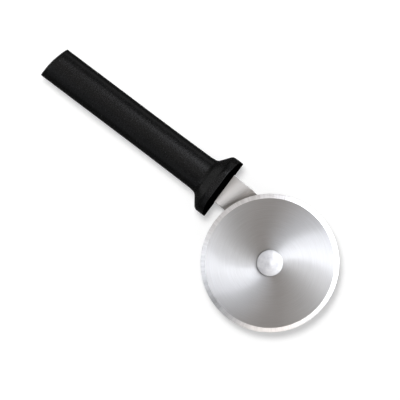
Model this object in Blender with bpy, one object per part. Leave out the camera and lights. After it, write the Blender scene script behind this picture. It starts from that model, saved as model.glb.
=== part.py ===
"""Pastry cutter wheel: a bevelled steel wheel that rolls beside a black moulded handle.

The cutter lies on its side. The wheel spins about +Z, the handle runs towards -X, and the
origin is on the table under the middle of the whole tool. Units are metres.
"""
import math

import bmesh
import bpy

MM = 0.001
GAP = 0.3 * MM                    # running and seating gap between neighbouring pieces

# Cutting wheel
WHEEL_R = 38.1 * MM               # 3 inch wheel
WHEEL_T = 1.3 * MM
BEVEL_W = 2.5 * MM                # width of the ground bevel on each side
EDGE_T = 0.16 * MM                # thickness left at the cutting edge
BUSH_R = 4.5 * MM

# Axle stack, listed from the handle side of the wheel outwards
JOURNAL_R = 3.0 * MM
TENON_R = 2.5 * MM
HEAD_R = 7.2 * MM
HEAD_RIM = 0.45 * MM
HEAD_DOME = 0.9 * MM
NIB_R = 2.6 * MM                  # the soft raised nib that riveting leaves on the dome
NIB_H = 0.15 * MM
TAIL_R = 4.2 * MM
TAIL_H = 1.0 * MM
FRONT_WASHER = (5.6 * MM, 0.5 * MM)      # outer radius, thickness
SPACER_WASHER = (7.0 * MM, 1.2 * MM)
BACKING_WASHER = (5.6 * MM, 0.7 * MM)

# Handle, measured from the middle of the flange's front face
HANDLE_LEN = 118.45 * MM
GRIP_HALF_W = 9.97 * MM
NECK_HALF_W = 10.52 * MM
GRIP_HALF_H = 7.0 * MM
FLANGE_HALF_W = 17.85 * MM
FLANGE_HALF_H = 11.5 * MM
CROWN_HALF_H = 12.3 * MM          # the oval's height before its flat rest is cut on it
SECTION_POWER = 2.4               # 2 is an ellipse; more is squarer
FRONT_DRAFT = math.radians(17.5)  # each half of the front face leans back from the parting line
BUTT_DRAFT = math.radians(9.0)
BUTT_R = 44.0 * MM                # radius of the butt in plan
BUTT_APEX_Y = -6.9 * MM
FLARE_START = -14.0 * MM
FLARE_ANGLE = math.radians(54.0)
FLARE_FILLET_R = 3.4 * MM
SHOULDER_R = 3.2 * MM
SHOULDER_END = -5.2 * MM
RIM_R = 0.4 * MM                  # small radius round both end faces
WIDENING_LEN = 60.0 * MM          # the grip widens over this length towards the flare
BUTT_REACH = 20.0 * MM            # the rings lean towards the butt face over this length
GRIP_RINGS = 13
RING_POINTS = 48

# Shank: tang, neck, joggle and arm, stamped from one plate
PLATE_T = 1.6 * MM
NECK_TOP = 9.95 * MM              # upper edge of the neck where it leaves the handle
NECK_LOW = -8.4 * MM
TANG_HALF_W = 6.0 * MM
TANG_LEN = 72.0 * MM
BOSS_R = 8.0 * MM
BEND_TOP = (13.0 * MM, 9.55 * MM)        # ends of the oblique line where the drop is complete
BEND_LOW = (6.2 * MM, -8.4 * MM)
JOGGLE_START = -1.6 * MM
EASE_IN = 0.70                    # share of the joggle over which its slope builds up
EASE_OUT = 0.08                   # share over which it levels off, in a tight bend
NECK_ROWS = 24
ARM_CONTROL = (23.4 * MM, 8.9 * MM)      # the arm's upper edge bends over towards this point
SHOULDER_BACK = 14.0 * MM         # the tang widens to the neck between these two places
SHOULDER_FRONT = -9.0 * MM
PLATE_COLUMNS = 4

# Where things are
AXLE_DX = 44.2 * MM               # axle ahead of the flange's front face
AXLE_DY = -16.8 * MM              # axle to the side of the handle's centre line
MID_Z = FLANGE_HALF_H             # middle plane of the wheel and the handle
FLANGE_X = (HANDLE_LEN - AXLE_DX - WHEEL_R) / 2.0
HANDLE_Y = -AXLE_DY
AXLE_X = FLANGE_X + AXLE_DX

# Heights of the axle stack, measured from the wheel's middle plane
WHEEL_TOP = WHEEL_T / 2.0
FRONT_WASHER_Z = WHEEL_TOP + GAP
HEAD_Z = FRONT_WASHER_Z + FRONT_WASHER[1] + GAP
SPACER_Z = -WHEEL_TOP - GAP - SPACER_WASHER[1]
ARM_TOP = SPACER_Z - GAP
ARM_MID = ARM_TOP - PLATE_T / 2.0
BACKING_Z = ARM_TOP - PLATE_T - GAP - BACKING_WASHER[1]
TAIL_Z = BACKING_Z - GAP


def clear_scene():
    for old in list(bpy.data.objects):
        bpy.data.objects.remove(old, do_unlink=True)


def smooth(t):
    t = max(0.0, min(1.0, t))
    return t * t * (3.0 - 2.0 * t)


def lerp(a, b, t):
    return a + (b - a) * t


def material(name, colour, roughness, metallic):
    mat = bpy.data.materials.new(name)
    mat.use_nodes = True
    shader = mat.node_tree.nodes["Principled BSDF"]
    shader.inputs["Base Color"].default_value = (*colour, 1.0)
    shader.inputs["Roughness"].default_value = roughness
    shader.inputs["Metallic"].default_value = metallic
    return mat


def add_empty(name, location):
    empty = bpy.data.objects.new(name, None)
    empty.empty_display_size = 0.01
    empty.location = location
    bpy.context.scene.collection.objects.link(empty)
    return empty


def add_object(name, bm, mat, parent, sharp_deg=35.0):
    """Turn a bmesh into a smooth-shaded object under its parent."""
    bmesh.ops.recalc_face_normals(bm, faces=bm.faces)
    mesh = bpy.data.meshes.new(name)
    bm.to_mesh(mesh)
    bm.free()
    mesh.shade_smooth()
    mesh.set_sharp_from_angle(angle=math.radians(sharp_deg))
    if mat is not None:
        mesh.materials.append(mat)
    obj = bpy.data.objects.new(name, mesh)
    bpy.context.scene.collection.objects.link(obj)
    obj.parent = parent
    return obj


def turned(profile, steps):
    """Spin a closed profile of (radius, height) points about Z."""
    bm = bmesh.new()
    verts = [bm.verts.new((r, 0.0, z)) for r, z in profile]
    edges = [bm.edges.new((a, b)) for a, b in zip(verts, verts[1:] + verts[:1])
             if a.co.x > 0.0 or b.co.x > 0.0]
    bmesh.ops.spin(bm, geom=verts + edges, axis=(0, 0, 1), cent=(0, 0, 0),
                   angle=math.tau, steps=steps, use_merge=True)
    bmesh.ops.remove_doubles(bm, verts=bm.verts, dist=1e-6)
    return bm


def washer(inner_r, outer_r, low, high, steps=48):
    return turned([(inner_r, low), (outer_r, low), (outer_r, high), (inner_r, high)], steps)


def subtract(target, cutter):
    """Cut one object out of another and keep the cutter as a hidden guide."""
    cutter.hide_render = True
    cutter.display_type = "WIRE"
    cut = target.modifiers.new("Cut_" + cutter.name, "BOOLEAN")
    cut.operation = "DIFFERENCE"
    cut.solver = "EXACT"
    cut.object = cutter


# Axle and wheel

def wheel_profile():
    flat_r = WHEEL_R - BEVEL_W
    bore_r = BUSH_R + GAP
    half_edge = EDGE_T / 2.0
    return [(bore_r, -WHEEL_TOP), (flat_r, -WHEEL_TOP), (WHEEL_R, -half_edge),
            (WHEEL_R, half_edge), (flat_r, WHEEL_TOP), (bore_r, WHEEL_TOP)]


def rivet_profile():
    """Domed head, journal, tenon through the arm, and the tail peened over."""
    head = []
    for i in range(11):
        r = HEAD_R * i / 10.0
        dome = HEAD_DOME * (1.0 - (r / HEAD_R) ** 2)
        head.append((r, HEAD_Z + HEAD_RIM + dome + NIB_H * (1.0 - smooth(r / NIB_R))))
    shoulder_z = ARM_TOP + GAP
    tail = [(TAIL_R, TAIL_Z), (TAIL_R, TAIL_Z - 0.4 * TAIL_H),
            (0.6 * TAIL_R, TAIL_Z - 0.9 * TAIL_H), (0.0, TAIL_Z - TAIL_H)]
    stem = [(HEAD_R, HEAD_Z), (JOURNAL_R, HEAD_Z), (JOURNAL_R, shoulder_z),
            (TENON_R, shoulder_z), (TENON_R, TAIL_Z)]
    return head + stem + tail


# Handle

def flare_profile():
    """(x, share of the flange's extra size) along the fillet, the ramp and the shoulder."""
    rise = FLANGE_HALF_W - NECK_HALF_W
    points = []
    for i in range(6):
        a = FLARE_ANGLE * i / 5.0
        points.append((FLARE_START + FLARE_FILLET_R * math.sin(a),
                       FLARE_FILLET_R * (1.0 - math.cos(a)) / rise))
    for i in range(6):
        a = FLARE_ANGLE * (1.0 - i / 5.0)
        points.append((SHOULDER_END - SHOULDER_R * math.sin(a),
                       1.0 - SHOULDER_R * (1.0 - math.cos(a)) / rise))
    return points


def handle_stations():
    """(x, half width, half height, inset) of the rings from the butt to the front face."""
    rim = ((0.0, 1.0), (0.3, 0.3), (1.0, 0.0))
    stations = [(RIM_R * step - HANDLE_LEN, GRIP_HALF_W, GRIP_HALF_H, RIM_R * inset)
                for step, inset in rim]
    for i in range(1, GRIP_RINGS):
        x = lerp(-HANDLE_LEN, FLARE_START, i / GRIP_RINGS)
        along = max(0.0, 1.0 + x / WIDENING_LEN)
        stations.append((x, lerp(GRIP_HALF_W, NECK_HALF_W, along ** 2), GRIP_HALF_H, 0.0))
    for x, share in flare_profile():
        stations.append((x, lerp(NECK_HALF_W, FLANGE_HALF_W, share),
                         lerp(GRIP_HALF_H, CROWN_HALF_H, share), 0.0))
    stations += [(-RIM_R * step, FLANGE_HALF_W, CROWN_HALF_H, RIM_R * inset)
                 for step, inset in reversed(rim)]
    return stations


def oval_point(index, half_w, half_h, inset):
    """One point of a squarish oval; index 0 is at +Y and the count runs over the top."""
    half_w, half_h, rest = half_w - inset, half_h - inset, FLANGE_HALF_H - inset
    a = math.tau * index / RING_POINTS
    c, s = math.cos(a), math.sin(a)
    y = math.copysign(half_w * abs(c) ** (2.0 / SECTION_POWER), c)
    z = math.copysign(half_h * abs(s) ** (2.0 / SECTION_POWER), s)
    if index % (RING_POINTS // 2) == 0:
        z = 0.0
    return y, max(-rest, min(rest, z))


def front_x(z):
    return -abs(z) * math.tan(FRONT_DRAFT)


def butt_x(y, z):
    bulge = (y - BUTT_APEX_Y) ** 2 / (2.0 * BUTT_R)
    return -HANDLE_LEN + bulge + abs(z) * math.tan(BUTT_DRAFT)


def ring_x(x, y, z):
    """Lean the rings near each end so that they meet the drafted end faces."""
    first = SHOULDER_END
    if x > first:
        return first + (x - first) * (front_x(z) - first) / -first
    near = max(0.0, 1.0 - (x + HANDLE_LEN) / BUTT_REACH)
    return x + (butt_x(y, z) + HANDLE_LEN) * near


def cap(bm, ring, end_x):
    """Close one end with two leaning halves that meet on the parting line."""
    half = RING_POINTS // 2
    middle = {0: ring[0], half: ring[half]}
    for i in range(1, half):
        y = ring[i].co.y
        middle[i] = bm.verts.new((end_x(y), y, 0.0))
    for side in (1, -1):
        for i in range(half):
            corners = [ring[(side * i) % RING_POINTS], ring[(side * (i + 1)) % RING_POINTS],
                       middle[i + 1], middle[i]]
            unique = [v for k, v in enumerate(corners) if v not in corners[:k]]
            bm.faces.new(unique)


def handle_body():
    bm = bmesh.new()
    rings = []
    for x, half_w, half_h, inset in handle_stations():
        ring = []
        for i in range(RING_POINTS):
            y, z = oval_point(i, half_w, half_h, inset)
            ring.append(bm.verts.new((ring_x(x, y, z), y, z)))
        rings.append(ring)
    for a, b in zip(rings, rings[1:]):
        for i in range(RING_POINTS):
            j = (i + 1) % RING_POINTS
            bm.faces.new((a[i], a[j], b[j], b[i]))
    cap(bm, rings[0], lambda y: butt_x(y, 0.0))
    cap(bm, rings[-1], lambda y: 0.0)
    return bm


# Shank

def curve_point(start, control, end, t):
    """A point on a quadratic curve."""
    return tuple((1 - t) ** 2 * a + 2 * t * (1 - t) * b + t ** 2 * c
                 for a, b, c in zip(start, control, end))


def tang_rows():
    """Rows (upper edge, lower edge, height) of the tang, tip first, and its shoulders."""
    tip = [(0.0, 0.6), (0.8 * MM, 0.85), (2.4 * MM, 1.0), (TANG_LEN - SHOULDER_BACK, 1.0)]
    rows = []
    for step, share in tip:
        x, half = step - TANG_LEN, share * TANG_HALF_W
        rows.append(((x, half), (x, -half), 0.0))
    rows.append(((SHOULDER_FRONT, NECK_TOP), (SHOULDER_FRONT, NECK_LOW), 0.0))
    return rows


def joggle(t):
    """Share of the drop at t, where the slope builds up, holds, and levels off."""
    def ramp_area(u):
        u = max(0.0, min(1.0, u))
        return u ** 3 - u ** 4 / 2.0

    late = max(0.0, t - (1.0 - EASE_OUT))
    steady = max(0.0, min(t, 1.0 - EASE_OUT) - EASE_IN)
    drop = EASE_IN * ramp_area(t / EASE_IN) + steady + late - EASE_OUT * ramp_area(late / EASE_OUT)
    return drop / (1.0 - (EASE_IN + EASE_OUT) / 2.0)


def neck_rows():
    """Rows of the neck as it drops to the arm's level along the oblique bend."""
    rows = []
    for i in range(NECK_ROWS + 1):
        t = i / NECK_ROWS
        top = (lerp(JOGGLE_START, BEND_TOP[0], t), lerp(NECK_TOP, BEND_TOP[1], t))
        low = (lerp(JOGGLE_START, BEND_LOW[0], t), lerp(NECK_LOW, BEND_LOW[1], t))
        rows.append((top, low, ARM_MID * joggle(t)))
    return rows


def arm_rows():
    """Rows of the flat arm and its round boss about the axle."""
    middle = ((BEND_TOP[0] + BEND_LOW[0]) / 2.0, (BEND_TOP[1] + BEND_LOW[1]) / 2.0)
    heading = math.atan2(AXLE_DY - middle[1], AXLE_DX - middle[0])

    def boss(turn):
        return (AXLE_DX + BOSS_R * math.cos(heading + turn),
                AXLE_DY + BOSS_R * math.sin(heading + turn))

    top_end, low_end = boss(math.pi / 2.0), boss(-math.pi / 2.0)
    rows = []
    for i in range(1, 9):
        t = i / 8.0
        low = (lerp(BEND_LOW[0], low_end[0], t), lerp(BEND_LOW[1], low_end[1], t))
        rows.append((curve_point(BEND_TOP, ARM_CONTROL, top_end, t), low, ARM_MID))
    for degrees in (72.0, 54.0, 36.0, 18.0, 6.0):
        turn = math.radians(degrees)
        rows.append((boss(turn), boss(-turn), ARM_MID))
    return rows


def plate(rows, half_t):
    """Loft a plate of even thickness through rows that cross it."""
    bm = bmesh.new()
    grid = []
    for top, low, z in rows:
        line = [(lerp(low[0], top[0], k / PLATE_COLUMNS), lerp(low[1], top[1], k / PLATE_COLUMNS))
                for k in range(PLATE_COLUMNS + 1)]
        grid.append(([bm.verts.new((x, y, z + half_t)) for x, y in line],
                     [bm.verts.new((x, y, z - half_t)) for x, y in line]))
    for (a_up, a_down), (b_up, b_down) in zip(grid, grid[1:]):
        for k in range(PLATE_COLUMNS):
            bm.faces.new((a_up[k], b_up[k], b_up[k + 1], a_up[k + 1]))
            bm.faces.new((a_down[k + 1], b_down[k + 1], b_down[k], a_down[k]))
        for k in (0, PLATE_COLUMNS):
            bm.faces.new((a_down[k], b_down[k], b_up[k], a_up[k]))
    for up, down in (grid[0], grid[-1]):
        for k in range(PLATE_COLUMNS):
            bm.faces.new((up[k], up[k + 1], down[k + 1], down[k]))
    return bm


def pocket_rows():
    """The tang's rows opened out by the gap, running out through the front face."""
    rows = []
    for top, low, z in tang_rows() + neck_rows()[:NECK_ROWS // 2 + 1]:
        back = GAP if top[0] < SHOULDER_FRONT + MM else 0.0
        rows.append(((top[0] - back, top[1] + GAP), (low[0] - back, low[1] - GAP), z))
    return rows


# Assembly

def build_handle(root, resin):
    handle = add_object("handle", handle_body(), resin, root)
    pocket = add_object("tang_pocket", plate(pocket_rows(), PLATE_T / 2.0 + GAP), None, root)
    subtract(handle, pocket)


def build_shank(root, steel):
    rows = tang_rows() + neck_rows() + arm_rows()
    shank = add_object("shank", plate(rows, PLATE_T / 2.0), steel, root)
    hole = add_object("axle_hole", turned([(0.0, ARM_MID - PLATE_T), (TENON_R + GAP, ARM_MID - PLATE_T),
                                           (TENON_R + GAP, ARM_MID + PLATE_T),
                                           (0.0, ARM_MID + PLATE_T)], 48), None, root)
    hole.location = (AXLE_DX, AXLE_DY, 0.0)
    subtract(shank, hole)


def build_axle(axle, steel):
    """The rivet and its three washers, which stay still while the wheel turns."""
    add_object("axle_rivet", turned(rivet_profile(), 64), steel, axle)
    for name, (outer_r, thick), low, inner_r in (
            ("front_washer", FRONT_WASHER, FRONT_WASHER_Z, JOURNAL_R),
            ("spacer_washer", SPACER_WASHER, SPACER_Z, JOURNAL_R),
            ("backing_washer", BACKING_WASHER, BACKING_Z, TENON_R)):
        add_object(name, washer(inner_r + GAP, outer_r, low, low + thick), steel, axle)


def build_wheel(axle, steel, bronze):
    add_object("cutting_wheel", turned(wheel_profile(), 128), steel, axle, sharp_deg=5.0)
    add_object("wheel_bush", washer(JOURNAL_R + GAP, BUSH_R, -WHEEL_TOP, WHEEL_TOP), bronze, axle)


def main():
    clear_scene()
    resin = material("black_resin", (0.018, 0.018, 0.019), 0.45, 0.0)
    blade_steel = material("blade_steel", (0.62, 0.62, 0.63), 0.22, 1.0)
    plate_steel = material("plate_steel", (0.60, 0.60, 0.59), 0.32, 1.0)
    bronze = material("bush_bronze", (0.55, 0.38, 0.20), 0.40, 1.0)

    flange = add_empty("flange_frame", (FLANGE_X, HANDLE_Y, MID_Z))
    axle = add_empty("wheel_axis", (AXLE_X, 0.0, MID_Z))
    build_handle(flange, resin)
    build_shank(flange, plate_steel)
    build_axle(axle, plate_steel)
    build_wheel(axle, blade_steel, bronze)


main()
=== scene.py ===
"""Looks of the pastry cutter wheel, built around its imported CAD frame. Units are metres."""
import math

import bmesh
import bpy
from mathutils import Matrix, Vector


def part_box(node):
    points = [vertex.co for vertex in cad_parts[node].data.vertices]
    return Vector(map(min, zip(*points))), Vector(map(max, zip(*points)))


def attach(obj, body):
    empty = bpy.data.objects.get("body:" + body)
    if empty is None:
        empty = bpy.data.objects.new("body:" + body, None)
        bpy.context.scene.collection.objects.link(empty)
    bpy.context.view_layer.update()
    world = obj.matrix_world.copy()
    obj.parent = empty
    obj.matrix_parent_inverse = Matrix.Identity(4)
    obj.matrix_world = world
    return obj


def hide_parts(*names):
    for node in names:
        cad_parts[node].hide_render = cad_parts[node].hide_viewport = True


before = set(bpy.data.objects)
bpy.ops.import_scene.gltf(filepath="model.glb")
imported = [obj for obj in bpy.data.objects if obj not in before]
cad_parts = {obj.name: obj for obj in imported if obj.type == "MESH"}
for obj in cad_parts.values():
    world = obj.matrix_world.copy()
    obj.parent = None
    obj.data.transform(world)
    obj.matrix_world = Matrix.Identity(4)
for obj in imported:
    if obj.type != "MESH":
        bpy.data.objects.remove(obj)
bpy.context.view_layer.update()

MM = 0.001
GAP = 0.3 * MM

# Places read from the CAD model
WHEEL_LOW, WHEEL_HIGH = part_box("cutting_wheel")
HANDLE_LOW, HANDLE_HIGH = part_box("handle")
SHANK_LOW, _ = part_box("shank")
RIVET_LOW, RIVET_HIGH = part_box("axle_rivet")
AXLE = (WHEEL_LOW + WHEEL_HIGH) / 2.0
FLANGE = Vector((HANDLE_HIGH.x, (HANDLE_LOW.y + HANDLE_HIGH.y) / 2.0,
                 (HANDLE_LOW.z + HANDLE_HIGH.z) / 2.0))
AXLE_DX, AXLE_DY = AXLE.x - FLANGE.x, AXLE.y - FLANGE.y
WHEEL_R = (WHEEL_HIGH.x - WHEEL_LOW.x) / 2.0
WHEEL_T = WHEEL_HIGH.z - WHEEL_LOW.z
HANDLE_LEN = HANDLE_HIGH.x - HANDLE_LOW.x
FLANGE_HALF_W = (HANDLE_HIGH.y - HANDLE_LOW.y) / 2.0
FLANGE_HALF_H = (HANDLE_HIGH.z - HANDLE_LOW.z) / 2.0


def lerp(a, b, t):
    return a + (b - a) * t


def smooth(t):
    t = max(0.0, min(1.0, t))
    return t * t * (3.0 - 2.0 * t)


# ---------------------------------------------------------------- mesh helpers

def add_piece(name, bm, mats, body, node, place=None, sharp_deg=30.0):
    """Make a smooth-shaded piece that rides on a body and stands for a CAD node."""
    bmesh.ops.recalc_face_normals(bm, faces=bm.faces)
    mesh = bpy.data.meshes.new(name)
    bm.to_mesh(mesh)
    bm.free()
    mesh.shade_smooth()
    mesh.set_sharp_from_angle(angle=math.radians(sharp_deg))
    for mat in mats:
        mesh.materials.append(mat)
    obj = bpy.data.objects.new(name, mesh)
    bpy.context.scene.collection.objects.link(obj)
    if place is not None:
        obj.location = place
    if body:
        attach(obj, body)
    if node:
        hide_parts(node)
    return obj


def turned(profile, steps):
    """Spin a closed profile of (radius, height) points about Z."""
    bm = bmesh.new()
    verts = [bm.verts.new((r, 0.0, z)) for r, z in profile]
    edges = [bm.edges.new((a, b)) for a, b in zip(verts, verts[1:] + verts[:1])
             if a.co.x > 0.0 or b.co.x > 0.0]
    bmesh.ops.spin(bm, geom=verts + edges, axis=(0, 0, 1), cent=(0, 0, 0),
                   angle=math.tau, steps=steps, use_merge=True)
    bmesh.ops.remove_doubles(bm, verts=bm.verts, dist=1e-7)
    return bm


def rounded(profile, radius, steps=3):
    """Round the corners of a closed (radius, height) profile, leaving corners on the axis."""
    out = []
    count = len(profile)
    for i, corner in enumerate(profile):
        here = Vector(corner)
        back, ahead = Vector(profile[i - 1]) - here, Vector(profile[(i + 1) % count]) - here
        if here.x < 1e-6 or back.length < 1e-7 or ahead.length < 1e-7:
            out.append(corner)
            continue
        turn = math.pi - back.angle(ahead)
        if turn < math.radians(8.0):
            out.append(corner)
            continue
        cut = min(radius, 0.45 * back.length, 0.45 * ahead.length)
        start, end = here + back.normalized() * cut, here + ahead.normalized() * cut
        for k in range(steps + 1):
            t = k / steps
            point = start * (1 - t) ** 2 + here * 2 * t * (1 - t) + end * t ** 2
            out.append((point.x, point.y))
    return out


# ---------------------------------------------------------------- handle

GRIP_HALF_W = 9.97 * MM
NECK_HALF_W = 10.52 * MM
GRIP_HALF_H = 7.0 * MM
CROWN_HALF_H = 12.3 * MM
SECTION_POWER = 2.4
FRONT_DRAFT = math.radians(17.5)
BUTT_DRAFT = math.radians(9.0)
BUTT_R = 44.0 * MM
BUTT_APEX_Y = -6.9 * MM
FLARE_START = -14.0 * MM
FLARE_ANGLE = math.radians(54.0)
FLARE_FILLET_R = 3.4 * MM
SHOULDER_R = 3.2 * MM
SHOULDER_END = -5.2 * MM
RIM_R = 0.4 * MM
WIDENING_LEN = 60.0 * MM          # the grip widens over this length towards the flare
BUTT_REACH = 20.0 * MM            # the rings lean towards the butt face over this length
FLASH = 0.05 * MM                 # height of the moulding flash on the parting line
GRIP_STEPS = 61                   # steps along the plain part of the grip
RIM_RINGS = 5                     # rings round the small radius of each end face
STRAIGHT_STEPS = 5                # steps along the flare's ramp and along the flange's edge


def flare_profile(steps):
    rise = FLANGE_HALF_W - NECK_HALF_W
    points = []
    for i in range(steps + 1):
        a = FLARE_ANGLE * i / steps
        points.append((FLARE_START + FLARE_FILLET_R * math.sin(a),
                       FLARE_FILLET_R * (1.0 - math.cos(a)) / rise))
    ramp_start = points[-1]
    shoulder = []
    for i in range(steps + 1):
        a = FLARE_ANGLE * (1.0 - i / steps)
        shoulder.append((SHOULDER_END - SHOULDER_R * math.sin(a),
                         1.0 - SHOULDER_R * (1.0 - math.cos(a)) / rise))
    for i in range(1, STRAIGHT_STEPS):
        points.append((lerp(ramp_start[0], shoulder[0][0], i / STRAIGHT_STEPS),
                       lerp(ramp_start[1], shoulder[0][1], i / STRAIGHT_STEPS)))
    return points + shoulder


def handle_stations():
    rim = [(1.0 - math.cos(a), 1.0 - math.sin(a))
           for a in (math.radians(90.0) * k / (RIM_RINGS - 1) for k in range(RIM_RINGS))]
    stations = [(RIM_R * step - HANDLE_LEN, GRIP_HALF_W, GRIP_HALF_H, RIM_R * inset)
                for step, inset in rim]
    for i in range(1, GRIP_STEPS):
        x = lerp(-HANDLE_LEN + RIM_R, FLARE_START, i / GRIP_STEPS)
        along = max(0.0, 1.0 + x / WIDENING_LEN)
        stations.append((x, lerp(GRIP_HALF_W, NECK_HALF_W, along ** 2), GRIP_HALF_H, 0.0))
    for x, share in flare_profile(10):
        stations.append((x, lerp(NECK_HALF_W, FLANGE_HALF_W, share),
                         lerp(GRIP_HALF_H, CROWN_HALF_H, share), 0.0))
    for i in range(1, STRAIGHT_STEPS):
        x = lerp(SHOULDER_END, -RIM_R, i / STRAIGHT_STEPS)
        stations.append((x, FLANGE_HALF_W, CROWN_HALF_H, 0.0))
    stations += [(-RIM_R * step, FLANGE_HALF_W, CROWN_HALF_H, RIM_R * inset)
                 for step, inset in reversed(rim)]
    return stations


def ring_angles():
    """Angles round the section, close together at the parting line."""
    quarter = [0.0, 0.012, 0.03, 0.06]
    quarter += [lerp(0.06, math.pi / 2.0, i / 26.0) for i in range(1, 26)]
    upper = quarter + [math.pi / 2.0] + [math.pi - a for a in reversed(quarter)]
    return upper + [a + math.pi for a in upper[1:-1]]


def front_x(z):
    return -abs(z) * math.tan(FRONT_DRAFT)


def butt_x(y, z):
    bulge = (y - BUTT_APEX_Y) ** 2 / (2.0 * BUTT_R)
    return -HANDLE_LEN + bulge + abs(z) * math.tan(BUTT_DRAFT)


def ring_x(x, y, z):
    first = SHOULDER_END
    if x > first:
        return first + (x - first) * (front_x(z) - first) / -first
    near = max(0.0, 1.0 - (x + HANDLE_LEN) / BUTT_REACH)
    return x + (butt_x(y, z) + HANDLE_LEN) * near


def oval_point(a, half_w, half_h, inset):
    half_w, half_h, rest = half_w - inset, half_h - inset, FLANGE_HALF_H - inset
    c, s = math.cos(a), math.sin(a)
    y = math.copysign(half_w * abs(c) ** (2.0 / SECTION_POWER), c)
    z = math.copysign(half_h * abs(s) ** (2.0 / SECTION_POWER), s)
    if abs(s) < 1e-9:
        y, z = y + math.copysign(FLASH, c) * (inset < 1e-9), 0.0
    return y, max(-rest, min(rest, z))


def cap(bm, ring, end_x, mat_index):
    count = len(ring)
    half = count // 2
    middle = {0: ring[0], half: ring[half]}
    for i in range(1, half):
        y = ring[i].co.y
        middle[i] = bm.verts.new((end_x(y), y, 0.0))
    for side in (1, -1):
        for i in range(half):
            corners = [ring[(side * i) % count], ring[(side * (i + 1)) % count],
                       middle[i + 1], middle[i]]
            face = bm.faces.new([v for k, v in enumerate(corners) if v not in corners[:k]])
            face.material_index = mat_index


def handle_body():
    """The whole handle; its front face and that face's rim take the second material, a darker copy
    of the resin that paints shade on them.
    """
    bm = bmesh.new()
    angles = ring_angles()
    rings = []
    for x, half_w, half_h, inset in handle_stations():
        ring = []
        for a in angles:
            y, z = oval_point(a, half_w, half_h, inset)
            ring.append(bm.verts.new((ring_x(x, y, z), y, z)))
        rings.append(ring)
    # The faces round the front rim take the painted-shade resin, which also keeps the rounding
    # free of highlights.
    front_rim = len(rings) - RIM_RINGS
    for strip, (a, b) in enumerate(zip(rings, rings[1:])):
        for i in range(len(angles)):
            j = (i + 1) % len(angles)
            face = bm.faces.new((a[i], a[j], b[j], b[i]))
            face.material_index = 1 if strip >= front_rim else 0
    cap(bm, rings[0], lambda y: butt_x(y, 0.0), 0)
    cap(bm, rings[-1], lambda y: 0.0, 1)
    return bm


# ---------------------------------------------------------------- axle sizes

JOURNAL_R, TENON_R = 3.0 * MM, 2.5 * MM
BUSH_R = 4.5 * MM
FRONT_WASHER_T, BACKING_WASHER_T = 0.5 * MM, 0.7 * MM
HEAD_RIM, HEAD_DOME = 0.45 * MM, 0.9 * MM
HEAD_EDGE_R = 0.25 * MM
NIB_R, NIB_H = 2.6 * MM, 0.15 * MM
TAIL_R = 4.2 * MM
TAIL_RIM = 0.35                   # share of the tail's height that its straight rim takes
BEVEL_W = 2.5 * MM
HALF_EDGE = 0.08 * MM             # half the thickness left at the cutting edge
WHEEL_EDGE_R, BUSH_EDGE_R, WASHER_EDGE_R = 0.05 * MM, 0.1 * MM, 0.12 * MM


# ---------------------------------------------------------------- shank

PLATE_T = 1.6 * MM
ARM_MID = SHANK_LOW.z + PLATE_T / 2.0 - FLANGE.z
NECK_TOP, NECK_LOW = 9.95 * MM, -8.4 * MM
TANG_HALF_W = 6.0 * MM
TANG_LEN = 72.0 * MM
BOSS_R = 8.0 * MM
BEND_TOP, BEND_LOW = (13.0 * MM, 9.55 * MM), (6.2 * MM, -8.4 * MM)
JOGGLE_START = -1.6 * MM
EASE_IN, EASE_OUT = 0.70, 0.08    # shares of the joggle's length
ARM_CONTROL = (23.4 * MM, 8.9 * MM)
SHOULDER_BACK, SHOULDER_FRONT = 14.0 * MM, -9.0 * MM
PLATE_EDGE_R = 0.22 * MM
EDGE_SUPPORT = 0.08 * MM          # a row this far in keeps the face flat up to its edge


def joggle(t):
    """Share of the drop at t, where the slope builds up, holds, and levels off."""
    def ramp_area(u):
        u = max(0.0, min(1.0, u))
        return u ** 3 - u ** 4 / 2.0

    late = max(0.0, t - (1.0 - EASE_OUT))
    steady = max(0.0, min(t, 1.0 - EASE_OUT) - EASE_IN)
    drop = EASE_IN * ramp_area(t / EASE_IN) + steady + late - EASE_OUT * ramp_area(late / EASE_OUT)
    return drop / (1.0 - (EASE_IN + EASE_OUT) / 2.0)


def tang_rows():
    tip = [(0.0, 0.6), (0.8 * MM, 0.85), (2.4 * MM, 1.0), (TANG_LEN - SHOULDER_BACK, 1.0)]
    rows = []
    for step, share in tip:
        x, half = step - TANG_LEN, share * TANG_HALF_W
        rows.append(((x, half), (x, -half), 0.0))
    rows.append(((SHOULDER_FRONT, NECK_TOP), (SHOULDER_FRONT, NECK_LOW), 0.0))
    return rows


def neck_rows(count):
    rows = []
    for i in range(count + 1):
        t = i / count
        top = (lerp(JOGGLE_START, BEND_TOP[0], t), lerp(NECK_TOP, BEND_TOP[1], t))
        low = (lerp(JOGGLE_START, BEND_LOW[0], t), lerp(NECK_LOW, BEND_LOW[1], t))
        rows.append((top, low, ARM_MID * joggle(t)))
    return rows


def curve_point(start, control, end, t):
    return tuple((1 - t) ** 2 * a + 2 * t * (1 - t) * b + t ** 2 * c
                 for a, b, c in zip(start, control, end))


def arm_rows(count, boss_count):
    middle = ((BEND_TOP[0] + BEND_LOW[0]) / 2.0, (BEND_TOP[1] + BEND_LOW[1]) / 2.0)
    heading = math.atan2(AXLE_DY - middle[1], AXLE_DX - middle[0])

    def boss(turn):
        return (AXLE_DX + BOSS_R * math.cos(heading + turn),
                AXLE_DY + BOSS_R * math.sin(heading + turn))

    top_end, low_end = boss(math.pi / 2.0), boss(-math.pi / 2.0)
    rows = []
    for i in range(1, count + 1):
        t = i / count
        low = (lerp(BEND_LOW[0], low_end[0], t), lerp(BEND_LOW[1], low_end[1], t))
        rows.append((curve_point(BEND_TOP, ARM_CONTROL, top_end, t), low, ARM_MID))
    for i in range(1, boss_count):
        turn = math.radians(90.0) * (1.0 - i / boss_count)
        rows.append((boss(turn), boss(-turn), ARM_MID))
    return rows


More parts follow.
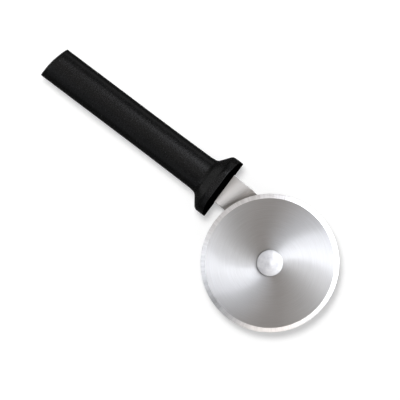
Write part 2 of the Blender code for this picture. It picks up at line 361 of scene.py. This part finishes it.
def plate(rows, half_t, columns, edge_r):
    """Loft a plate through rows that cross it, with its two long edges rounded."""
    bm = bmesh.new()
    edge = [(edge_r * (1.0 - math.sin(a)), edge_r * (1.0 - math.cos(a)))
            for a in (math.radians(30.0) * k for k in range(4))] if edge_r else [(0.0, 0.0)]
    loops = []
    for top, low, z in rows:
        across = Vector(top) - Vector(low)
        length = across.length
        across.normalize()

        def point(along, height):
            flat = Vector(low) + across * along
            return bm.verts.new((flat.x, flat.y, z + height))

        inset = min(edge_r, 0.3 * length)
        scale = inset / edge_r if edge_r else 0.0
        support = EDGE_SUPPORT if edge_r else 0.0
        spots = [lerp(inset + support, length - inset - support, k / columns)
                 for k in range(columns + 1)]
        if edge_r:
            spots = [inset] + spots + [length - inset]
        upper = [point(spot, half_t) for spot in spots]
        lower = [point(spot, -half_t) for spot in reversed(spots)]
        far, near = [], []
        for back, down in edge[1:]:
            far.append(point(length - back * scale, half_t - down))
        for back, down in reversed(edge[1:]):
            far.append(point(length - back * scale, -half_t + down))
        for back, down in edge[1:]:
            near.append(point(back * scale, -half_t + down))
        for back, down in reversed(edge[1:]):
            near.append(point(back * scale, half_t - down))
        loops.append(upper + far + lower + near)
    size = len(loops[0])
    for a, b in zip(loops, loops[1:]):
        for i in range(size):
            j = (i + 1) % size
            bm.faces.new((a[i], a[j], b[j], b[i]))
    bm.faces.new(loops[0])
    bm.faces.new(list(reversed(loops[-1])))
    return bm


def pocket_rows():
    rows = []
    count = 24
    for top, low, z in tang_rows() + neck_rows(count)[:count // 2 + 1]:
        back = GAP if top[0] < SHOULDER_FRONT + MM else 0.0
        rows.append(((top[0] - back, top[1] + GAP), (low[0] - back, low[1] - GAP), z))
    return rows


def subtract(target, cutter):
    """Cut and apply, then drop the cutter."""
    cut = target.modifiers.new("cut", "BOOLEAN")
    cut.operation = "DIFFERENCE"
    cut.solver = "EXACT"
    cut.object = cutter
    bpy.context.view_layer.update()
    evaluated = target.evaluated_get(bpy.context.evaluated_depsgraph_get())
    mesh = bpy.data.meshes.new_from_object(evaluated)
    target.modifiers.clear()
    old = target.data
    target.data = mesh
    bpy.data.meshes.remove(old)
    bpy.data.objects.remove(cutter)


def cutter_object(name, bm, place):
    bmesh.ops.recalc_face_normals(bm, faces=bm.faces)
    mesh = bpy.data.meshes.new(name)
    bm.to_mesh(mesh)
    bm.free()
    obj = bpy.data.objects.new(name, mesh)
    bpy.context.scene.collection.objects.link(obj)
    obj.location = place
    return obj


# ---------------------------------------------------------------- materials

DRIFT_FROM, DRIFT_TO = 0.010, 0.034     # radii between which the disc's grain drifts
GRAIN_TURN = math.radians(69.0)         # the plate's brushed lines, in line with the bend


def new_material(name):
    mat = bpy.data.materials.new(name)
    mat.use_nodes = True
    tree = mat.node_tree
    return mat, tree, tree.nodes["Principled BSDF"]


def node(tree, kind, **settings):
    made = tree.nodes.new(kind)
    for key, value in settings.items():
        setattr(made, key, value)
    return made


def ramp(tree, source, low, high, low_value, high_value):
    """Map a value from low..high to low_value..high_value."""
    made = node(tree, "ShaderNodeMapRange")
    made.inputs["From Min"].default_value = low
    made.inputs["From Max"].default_value = high
    made.inputs["To Min"].default_value = low_value
    made.inputs["To Max"].default_value = high_value
    tree.links.new(source, made.inputs["Value"])
    return made.outputs["Result"]


def noise(tree, vector, scale, detail=3.0, rough=0.5):
    made = node(tree, "ShaderNodeTexNoise")
    made.inputs["Scale"].default_value = scale
    made.inputs["Detail"].default_value = detail
    made.inputs["Roughness"].default_value = rough
    tree.links.new(vector, made.inputs["Vector"])
    return made.outputs["Fac"]


def object_coords(tree):
    return node(tree, "ShaderNodeTexCoord").outputs["Object"]


def stretched(tree, vector, scale, turn=0.0):
    """Turn the coordinates about Z, then stretch them."""
    turned_by = node(tree, "ShaderNodeMapping")
    turned_by.inputs["Rotation"].default_value = (0.0, 0.0, -turn)
    tree.links.new(vector, turned_by.inputs["Vector"])
    scaled_by = node(tree, "ShaderNodeMapping")
    scaled_by.inputs["Scale"].default_value = scale
    tree.links.new(turned_by.outputs["Vector"], scaled_by.inputs["Vector"])
    return scaled_by.outputs["Vector"]


def polar(tree, radial_scale, angular_scale):
    """Coordinates of (radius, angle, 0) about the object's own Z axis, each scaled."""
    parts = node(tree, "ShaderNodeSeparateXYZ")
    tree.links.new(object_coords(tree), parts.inputs[0])
    flat = node(tree, "ShaderNodeCombineXYZ")
    tree.links.new(parts.outputs["X"], flat.inputs["X"])
    tree.links.new(parts.outputs["Y"], flat.inputs["Y"])
    length = node(tree, "ShaderNodeVectorMath", operation="LENGTH")
    tree.links.new(flat.outputs[0], length.inputs[0])
    radius = node(tree, "ShaderNodeMath", operation="MULTIPLY")
    tree.links.new(length.outputs["Value"], radius.inputs[0])
    radius.inputs[1].default_value = radial_scale
    unit = node(tree, "ShaderNodeVectorMath", operation="NORMALIZE")
    tree.links.new(flat.outputs[0], unit.inputs[0])
    spread = node(tree, "ShaderNodeVectorMath", operation="SCALE")
    tree.links.new(unit.outputs["Vector"], spread.inputs[0])
    spread.inputs["Scale"].default_value = angular_scale
    back = node(tree, "ShaderNodeSeparateXYZ")
    tree.links.new(spread.outputs["Vector"], back.inputs[0])
    out = node(tree, "ShaderNodeCombineXYZ")
    tree.links.new(back.outputs["X"], out.inputs["X"])
    tree.links.new(back.outputs["Y"], out.inputs["Y"])
    tree.links.new(radius.outputs[0], out.inputs["Z"])
    return out.outputs[0], length.outputs["Value"]


def swept_tangent(tree, shader, radius, inner_turn, outer_turn):
    """Circular grain that drifts a little off true circles between hub and rim."""
    tangent = node(tree, "ShaderNodeTangent", direction_type="RADIAL", axis="Z")
    drift = node(tree, "ShaderNodeVectorRotate", rotation_type="Z_AXIS")
    tree.links.new(tangent.outputs[0], drift.inputs["Vector"])
    turn = ramp(tree, radius, DRIFT_FROM, DRIFT_TO,
                math.radians(inner_turn), math.radians(outer_turn))
    tree.links.new(turn, drift.inputs["Angle"])
    tree.links.new(drift.outputs[0], shader.inputs["Tangent"])


def bump(tree, shader, height, strength, distance):
    made = node(tree, "ShaderNodeBump")
    made.inputs["Strength"].default_value = strength
    made.inputs["Distance"].default_value = distance
    tree.links.new(height, made.inputs["Height"])
    tree.links.new(made.outputs["Normal"], shader.inputs["Normal"])


def colour_between(tree, factor, dark, light):
    mix = node(tree, "ShaderNodeMix", data_type="RGBA")
    tree.links.new(factor, mix.inputs["Factor"])
    mix.inputs["A"].default_value = (*dark, 1.0)
    mix.inputs["B"].default_value = (*light, 1.0)
    return mix.outputs["Result"]


def resin_material():
    mat, tree, shader = new_material("black_resin")
    coords = object_coords(tree)
    cloud = noise(tree, coords, 90.0, 4.0)
    grain = noise(tree, coords, 1300.0, 2.0, 0.6)
    colour = colour_between(tree, ramp(tree, cloud, 0.3, 0.7, 0.0, 1.0),
                            (0.0028, 0.0030, 0.0030), (0.0040, 0.0040, 0.0041))
    tree.links.new(colour, shader.inputs["Base Color"])
    tree.links.new(ramp(tree, grain, 0.35, 0.65, 0.20, 0.32), shader.inputs["Roughness"])
    shader.inputs["Specular IOR Level"].default_value = 0.18
    bump(tree, shader, grain, 0.9, 0.00012)
    return mat


def painted_shade_resin_material():
    # A darker copy of the black resin with no specular reflection, for the front face and its rim:
    # painted shade, where the face lies in shadow.
    mat, tree, shader = new_material("black_resin_face_painted_shade")
    coords = object_coords(tree)
    grain = noise(tree, coords, 1800.0, 2.0)
    colour = colour_between(tree, grain, (0.0003, 0.0003, 0.0003), (0.0008, 0.0008, 0.0008))
    tree.links.new(colour, shader.inputs["Base Color"])
    tree.links.new(ramp(tree, grain, 0.3, 0.7, 0.85, 0.95), shader.inputs["Roughness"])
    shader.inputs["Specular IOR Level"].default_value = 0.0
    bump(tree, shader, grain, 0.4, 0.00005)
    return mat


def disc_material():
    """Steel turned to a circular grain."""
    mat, tree, shader = new_material("blade_steel")
    shader.inputs["Metallic"].default_value = 1.0
    shader.inputs["Anisotropic"].default_value = 1.0
    shader.inputs["Anisotropic Rotation"].default_value = 0.25
    rings, radius = polar(tree, 3200.0, 2.0)
    fine = noise(tree, rings, 1.0, 4.0, 0.65)
    broad, _ = polar(tree, 700.0, 3.0)
    streaks = noise(tree, broad, 1.0, 3.0, 0.6)
    colour = colour_between(tree, ramp(tree, fine, 0.3, 0.7, 0.0, 1.0),
                            (0.47, 0.465, 0.46), (0.53, 0.53, 0.53))
    tree.links.new(colour, shader.inputs["Base Color"])
    tree.links.new(ramp(tree, streaks, 0.3, 0.7, 0.44, 0.46), shader.inputs["Roughness"])
    swept_tangent(tree, shader, radius, -15.0, 8.0)
    bump(tree, shader, fine, 0.25, 0.00001)
    return mat


def bevel_painted_highlight_material():
    """The ground bevel, with short grinding lines that run across it, in a lighter colour than the
    disc's steel: a painted highlight on the ring.
    """
    mat, tree, shader = new_material("blade_bevel_painted_highlight")
    shader.inputs["Metallic"].default_value = 1.0
    shader.inputs["Anisotropic"].default_value = 0.5
    shader.inputs["Anisotropic Rotation"].default_value = 0.25
    lines, _ = polar(tree, 12.0, 26.0)
    fine = noise(tree, lines, 1.0, 3.0, 0.65)
    # Lighter than the steel of the same blade's disc: painted highlight; the stripes within it are
    # the grinding lines.
    colour = colour_between(tree, ramp(tree, fine, 0.38, 0.62, 0.0, 1.0),
                            (0.73, 0.73, 0.73), (0.86, 0.86, 0.86))
    tree.links.new(colour, shader.inputs["Base Color"])
    tree.links.new(ramp(tree, fine, 0.3, 0.7, 0.28, 0.36), shader.inputs["Roughness"])
    tangent = node(tree, "ShaderNodeTangent", direction_type="RADIAL", axis="Z")
    tree.links.new(tangent.outputs[0], shader.inputs["Tangent"])
    bump(tree, shader, fine, 0.8, 0.00008)
    return mat


def rivet_material():
    """Satin steel with faint rings and a soft mottle."""
    mat, tree, shader = new_material("rivet_steel")
    shader.inputs["Metallic"].default_value = 1.0
    coords = object_coords(tree)
    rings, _ = polar(tree, 2600.0, 0.8)
    fine = noise(tree, rings, 1.0, 2.0, 0.6)
    cloud = noise(tree, coords, 320.0, 4.0, 0.55)
    colour = colour_between(tree, ramp(tree, cloud, 0.3, 0.7, 0.0, 1.0),
                            (0.53, 0.53, 0.545), (0.68, 0.68, 0.68))
    tree.links.new(colour, shader.inputs["Base Color"])
    tree.links.new(ramp(tree, fine, 0.3, 0.7, 0.54, 0.62), shader.inputs["Roughness"])
    bump(tree, shader, fine, 0.4, 0.00002)
    return mat


def plate_material(turn):
    """Stainless plate with straight brushed lines at an angle of turn to the handle."""
    mat, tree, shader = new_material("plate_steel")
    shader.inputs["Metallic"].default_value = 1.0
    shader.inputs["Anisotropic"].default_value = 1.0
    along = node(tree, "ShaderNodeCombineXYZ")
    along.inputs["X"].default_value = -math.sin(turn)
    along.inputs["Y"].default_value = math.cos(turn)
    tree.links.new(along.outputs[0], shader.inputs["Tangent"])
    coords = object_coords(tree)
    lines = noise(tree, stretched(tree, coords, (60.0, 5200.0, 60.0), turn), 1.0, 3.0, 0.6)
    cloud = noise(tree, coords, 120.0, 3.0)
    colour = colour_between(tree, lines, (0.45, 0.435, 0.42), (0.55, 0.535, 0.52))
    tree.links.new(colour, shader.inputs["Base Color"])
    tree.links.new(ramp(tree, cloud, 0.3, 0.7, 0.33, 0.39), shader.inputs["Roughness"])
    bump(tree, shader, lines, 0.35, 0.00002)
    return mat


def plain_metal(name, dark, light, rough):
    mat, tree, shader = new_material(name)
    shader.inputs["Metallic"].default_value = 1.0
    coords = object_coords(tree)
    cloud = noise(tree, coords, 500.0, 4.0)
    tree.links.new(colour_between(tree, cloud, dark, light), shader.inputs["Base Color"])
    tree.links.new(ramp(tree, cloud, 0.3, 0.7, rough, rough + 0.12), shader.inputs["Roughness"])
    bump(tree, shader, cloud, 0.3, 0.00002)
    return mat


# ---------------------------------------------------------------- pieces

def build_handle(resin, painted_shade_resin):
    handle = add_piece("handle_skin", handle_body(), [resin, painted_shade_resin], None, None,
                       FLANGE, 35.0)
    subtract(handle, cutter_object("pocket", plate(pocket_rows(), PLATE_T / 2.0 + GAP, 6, 0.0),
                                   FLANGE))
    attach(handle, "handle_body")
    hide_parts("handle")


def build_shank(steel):
    rows = tang_rows() + neck_rows(60) + arm_rows(40, 24)
    shank = add_piece("shank_plate", plate(rows, PLATE_T / 2.0, 20, PLATE_EDGE_R), [steel],
                      None, None, FLANGE, 50.0)
    hole_r, reach = TENON_R + GAP, 3.0 * MM
    hole = turned([(0.0, -reach), (hole_r, -reach), (hole_r, reach), (0.0, reach)], 96)
    subtract(shank, cutter_object("hole", hole, (AXLE.x, AXLE.y, FLANGE.z + ARM_MID)))
    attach(shank, "handle_body")
    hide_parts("shank")


def build_wheel(disc, bevel, bronze):
    half = WHEEL_T / 2.0
    flat_r, bore_r = WHEEL_R - BEVEL_W, BUSH_R + GAP
    profile = [(bore_r, -half), (flat_r, -half), (WHEEL_R, -HALF_EDGE), (WHEEL_R, HALF_EDGE),
               (flat_r, half), (bore_r, half)]
    bm = turned(rounded(profile, WHEEL_EDGE_R, 2), 360)
    for face in bm.faces:
        middle = face.calc_center_median()
        if Vector((middle.x, middle.y)).length > flat_r:
            face.material_index = 1
    add_piece("wheel_disc", bm, [disc, bevel], "wheel_body", "cutting_wheel",
              AXLE, 4.0)
    inner_r = JOURNAL_R + GAP
    bush = [(inner_r, -half), (BUSH_R, -half), (BUSH_R, half), (inner_r, half)]
    add_piece("bush_ring", turned(rounded(bush, BUSH_EDGE_R), 96), [bronze], "wheel_body",
              "wheel_bush", AXLE)


def build_axle(steel, washer_steel):
    low = RIVET_LOW.z - AXLE.z
    head_r = (RIVET_HIGH.x - RIVET_LOW.x) / 2.0
    under = WHEEL_T / 2.0 + FRONT_WASHER_T + 2.0 * GAP
    head = []
    for i in range(48):
        r = (head_r - HEAD_EDGE_R) * i / 47.0
        dome = HEAD_DOME * (1.0 - (r / head_r) ** 2)
        head.append((r, under + HEAD_RIM + dome + NIB_H * (1.0 - smooth(r / NIB_R))))
    edge_z = head[-1][1] - HEAD_EDGE_R
    for i in range(1, 7):
        a = math.radians(90.0) * i / 6.0
        head.append((head_r - HEAD_EDGE_R * (1.0 - math.sin(a)),
                     edge_z + HEAD_EDGE_R * math.cos(a)))
    arm_top = ARM_MID + PLATE_T / 2.0 + FLANGE.z - AXLE.z
    tail_top = arm_top - PLATE_T - BACKING_WASHER_T - 2.0 * GAP
    tail_h = tail_top - low
    tail = [(TAIL_R, tail_top)]
    for i in range(10):
        a = math.radians(90.0) * i / 9.0
        tail.append((TAIL_R * math.cos(a) if i < 9 else 0.0,
                     tail_top - tail_h * lerp(TAIL_RIM, 1.0, math.sin(a))))
    stem = [(head_r - 0.1 * MM, under), (JOURNAL_R, under), (JOURNAL_R, arm_top + GAP),
            (TENON_R, arm_top + GAP), (TENON_R, tail_top)]
    profile = head + stem + tail
    add_piece("rivet", turned(profile, 144), [steel], "handle_body",
              "axle_rivet", AXLE, 40.0)
    for name in ("front_washer", "spacer_washer", "backing_washer"):
        lowest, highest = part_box(name)
        outer = (highest.x - lowest.x) / 2.0
        inner = GAP + (TENON_R if name == "backing_washer" else JOURNAL_R)
        z0, z1 = lowest.z - AXLE.z, highest.z - AXLE.z
        ring = rounded([(inner, z0), (outer, z0), (outer, z1), (inner, z1)], WASHER_EDGE_R)
        add_piece(name + "_ring", turned(ring, 96), [washer_steel], "handle_body",
                  name, AXLE)


# ---------------------------------------------------------------- studio

ROLL = math.radians(37.0)         # the handle's slope across the picture
VIEW_RIGHT = Vector((math.cos(ROLL), math.sin(ROLL), 0.0))
VIEW_UP = Vector((-math.sin(ROLL), math.cos(ROLL), 0.0))
FIELD = 0.2196                    # width of the picture at the wheel, in metres
WHEEL_RIGHT, WHEEL_BELOW = 0.03832, 0.03461     # the axle's place from the picture's centre
VIEW_CENTRE = AXLE - VIEW_RIGHT * WHEEL_RIGHT + VIEW_UP * WHEEL_BELOW

WARM, COOL = (1.0, 0.92, 0.87), (0.90, 0.93, 1.0)
FLOOR_GLOW, WORLD_GLOW = 0.38, 0.09


def add_camera():
    data = bpy.data.cameras.new("camera")
    distance = 1.6
    data.sensor_width = 36.0
    data.lens = 36.0 * distance / FIELD
    data.clip_end = 20.0
    camera = bpy.data.objects.new("camera", data)
    camera.matrix_world = Matrix.Translation(VIEW_CENTRE + Vector((0, 0, distance))) \
        @ Matrix.Rotation(ROLL, 4, "Z")
    bpy.context.scene.collection.objects.link(camera)
    bpy.context.scene.camera = camera


def add_light(name, clock, tilt, size, glow, colour=(1, 1, 1)):
    """A soft panel one metre from the tool, size (across, towards the zenith).

    clock is clockwise from the picture's right, and tilt is down from the zenith. The panel
    is for reflections only, unless the caller changes that.
    """
    clock, tilt = math.radians(clock), math.radians(tilt)
    flat = VIEW_RIGHT * math.cos(clock) - VIEW_UP * math.sin(clock)
    away = flat * math.sin(tilt) + Vector((0, 0, math.cos(tilt)))
    across = Vector((0, 0, 1)).cross(flat)
    data = bpy.data.lights.new(name, "AREA")
    data.shape = "RECTANGLE"
    data.size, data.size_y = size
    data.energy = glow * math.pi * size[0] * size[1]
    data.color = colour
    light = bpy.data.objects.new(name, data)
    light.matrix_world = Matrix((across, away.cross(across), away)).transposed().to_4x4()
    light.location = Vector((VIEW_CENTRE.x, VIEW_CENTRE.y, 0.0)) + away
    light.visible_diffuse = False
    light.visible_camera = False
    bpy.context.scene.collection.objects.link(light)
    return light


def floor_material():
    mat, tree, shader = new_material("floor_white")
    grain = noise(tree, object_coords(tree), 300.0, 3.0)
    colour = colour_between(tree, grain, (0.69, 0.69, 0.69), (0.71, 0.71, 0.71))
    tree.links.new(colour, shader.inputs["Base Color"])
    shader.inputs["Roughness"].default_value = 1.0
    shader.inputs["Specular IOR Level"].default_value = 0.0
    shader.inputs["Emission Color"].default_value = (1.0, 1.0, 1.0, 1.0)
    shader.inputs["Emission Strength"].default_value = FLOOR_GLOW
    return mat


def add_floor():
    """A glowing white sweep: a flat floor that curves up into a wall all round."""
    flat_r, bend_r, wall = 1.6, 0.8, 2.4
    profile = [(0.0, 0.0), (flat_r, 0.0)]
    for i in range(1, 13):
        a = math.radians(90.0) * i / 12.0
        profile.append((flat_r + bend_r * math.sin(a), bend_r * (1.0 - math.cos(a))))
    profile.append((flat_r + bend_r, wall))
    bm = bmesh.new()
    verts = [bm.verts.new((r, 0.0, z)) for r, z in profile]
    edges = [bm.edges.new(pair) for pair in zip(verts, verts[1:])]
    bmesh.ops.spin(bm, geom=verts + edges, axis=(0, 0, 1), cent=(0, 0, 0),
                   angle=math.tau, steps=96, use_merge=True)
    bmesh.ops.remove_doubles(bm, verts=bm.verts, dist=1e-6)
    bmesh.ops.recalc_face_normals(bm, faces=bm.faces)
    mesh = bpy.data.meshes.new("floor")
    bm.to_mesh(mesh)
    bm.free()
    mesh.shade_smooth()
    mesh.materials.append(floor_material())
    floor = bpy.data.objects.new("floor", mesh)
    floor.location = (VIEW_CENTRE.x, VIEW_CENTRE.y, 0.0)
    bpy.context.scene.collection.objects.link(floor)
    floor.visible_glossy = False


def build_studio():
    add_camera()
    add_floor()
    world = bpy.data.worlds.new("studio")
    world.use_nodes = True
    background = world.node_tree.nodes["Background"]
    background.inputs["Color"].default_value = (1.0, 1.0, 1.0, 1.0)
    background.inputs["Strength"].default_value = WORLD_GLOW
    bpy.context.scene.world = world
    key = add_light("key", 247.5, 16.5, (0.32, 0.32), 21.5)
    key.visible_glossy, key.visible_diffuse = False, True
    add_light("overhead", 307.0, 12.7, (1.2, 0.84), 0.53, WARM)
    add_light("right", 349.0, 21.0, (0.64, 0.32), 4.9, COOL)
    add_light("right_far", 347.0, 50.0, (0.54, 0.42), 9.0, COOL)
    add_light("right_wide", 6.0, 54.0, (0.60, 0.40), 3.0)
    add_light("bottom", 80.0, 31.0, (0.46, 0.24), 2.2, WARM)
    add_light("left_near", 174.0, 29.0, (0.34, 0.26), 2.3, COOL)
    add_light("low_left", 127.0, 47.0, (0.5, 0.5), 0.52, COOL)
    add_light("far_edge", 307.0, 74.0, (0.9, 0.5), 0.75)
    add_light("low_right", 40.0, 45.0, (0.45, 0.7), 0.80)
    add_light("low_far", 50.0, 68.0, (0.6, 0.42), 0.9)
    add_light("rear", 217.0, 88.0, (0.7, 0.7), 1.1)
    add_light("left_low", 207.0, 44.0, (0.45, 0.3), 1.3)
    bpy.context.scene.view_settings.view_transform = "Standard"
    bpy.context.scene.view_settings.look = "None"


def main():
    build_handle(resin_material(), painted_shade_resin_material())
    build_shank(plate_material(GRAIN_TURN))
    build_wheel(disc_material(), bevel_painted_highlight_material(),
                plain_metal("bush_bronze", (0.42, 0.28, 0.14), (0.58, 0.40, 0.22), 0.35))
    build_axle(rivet_material(),
               plain_metal("washer_steel", (0.5, 0.5, 0.5), (0.66, 0.66, 0.66), 0.3))
    build_studio()


main()
